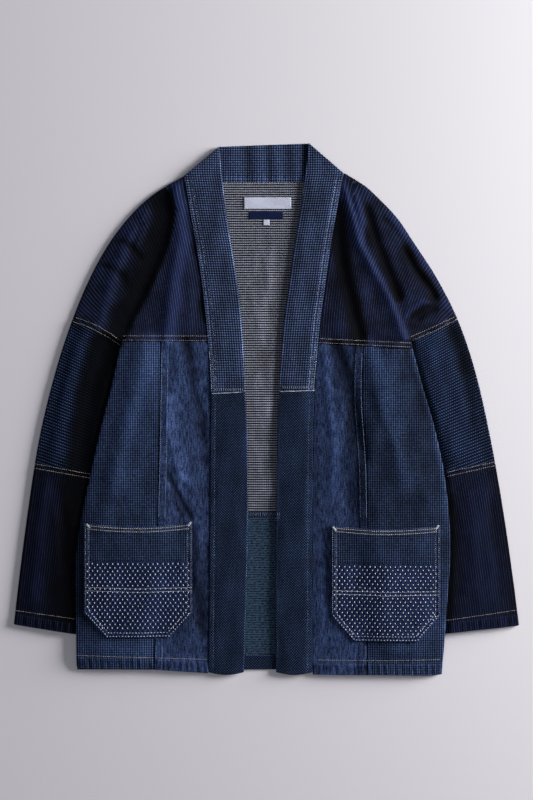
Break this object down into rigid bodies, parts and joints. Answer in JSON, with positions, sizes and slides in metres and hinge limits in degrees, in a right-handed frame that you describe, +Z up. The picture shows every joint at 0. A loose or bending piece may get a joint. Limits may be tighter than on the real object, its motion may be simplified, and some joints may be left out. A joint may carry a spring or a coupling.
{
  "type": "patchwork haori jacket",
  "caption": "Open-fronted indigo patchwork haori laid flat on its back, with a banded collar, drawn-down sleeves, two patch pockets and its striped inside showing at the neck",
  "frame": {"origin": "middle of the garment's outline, on the surface it lies on", "axes": "+X across the garment, to the right as it is seen from above with the collar at the top; +Y towards the collar; +Z up, away from the surface"},
  "size_m": [0.7588, 0.7989, 0.0128],
  "materials": {
    "striped_reverse": "matt cotton, narrow off-white and black stripes",
    "teal_twill": "matt cotton, plain teal indigo",
    "overlock_strip": "overlocked raw edge",
    "birdseye_twill": "matt dark bird's-eye twill",
    "waffle_weave": "matt waffle weave with pale points",
    "pinstripe": "matt dark cotton with fine paler stripes",
    "grid_weave": "matt dark grid of pale points",
    "plain_denim": "matt washed plain denim",
    "sleeve_weave": "matt dark basket weave",
    "sleeve_stripe": "matt near-black indigo with fine stripes",
    "sashiko_patch": "dark cotton with rows of off-white stitches",
    "pale_label": "plain woven satin label",
    "navy_label": "plain woven satin label"
  },
  "bodies": {
    "root": {"back_upper": "striped_reverse", "back_lower": "teal_twill", "back_seam_allowance": "overlock_strip", "back_hem": "birdseye_twill", "collar_back": "waffle_weave", "collar_left": "waffle_weave", "collar_right": "waffle_weave", "band_left": "birdseye_twill", "band_right": "birdseye_twill", "yoke_left": "pinstripe", "yoke_right": "pinstripe", "side_front_left": "grid_weave", "side_front_right": "grid_weave", "centre_front_left": "plain_denim", "centre_front_right": "plain_denim", "sleeve_mid_left": "sleeve_weave", "sleeve_mid_right": "sleeve_weave", "sleeve_lower_left": "sleeve_stripe", "sleeve_lower_right": "sleeve_stripe", "pocket_top_left": "grid_weave", "pocket_top_right": "grid_weave", "pocket_patch_left": "sashiko_patch", "pocket_patch_right": "sashiko_patch", "label_main": "pale_label", "label_second": "navy_label", "label_size": "pale_label"}
  },
  "joints": []
}
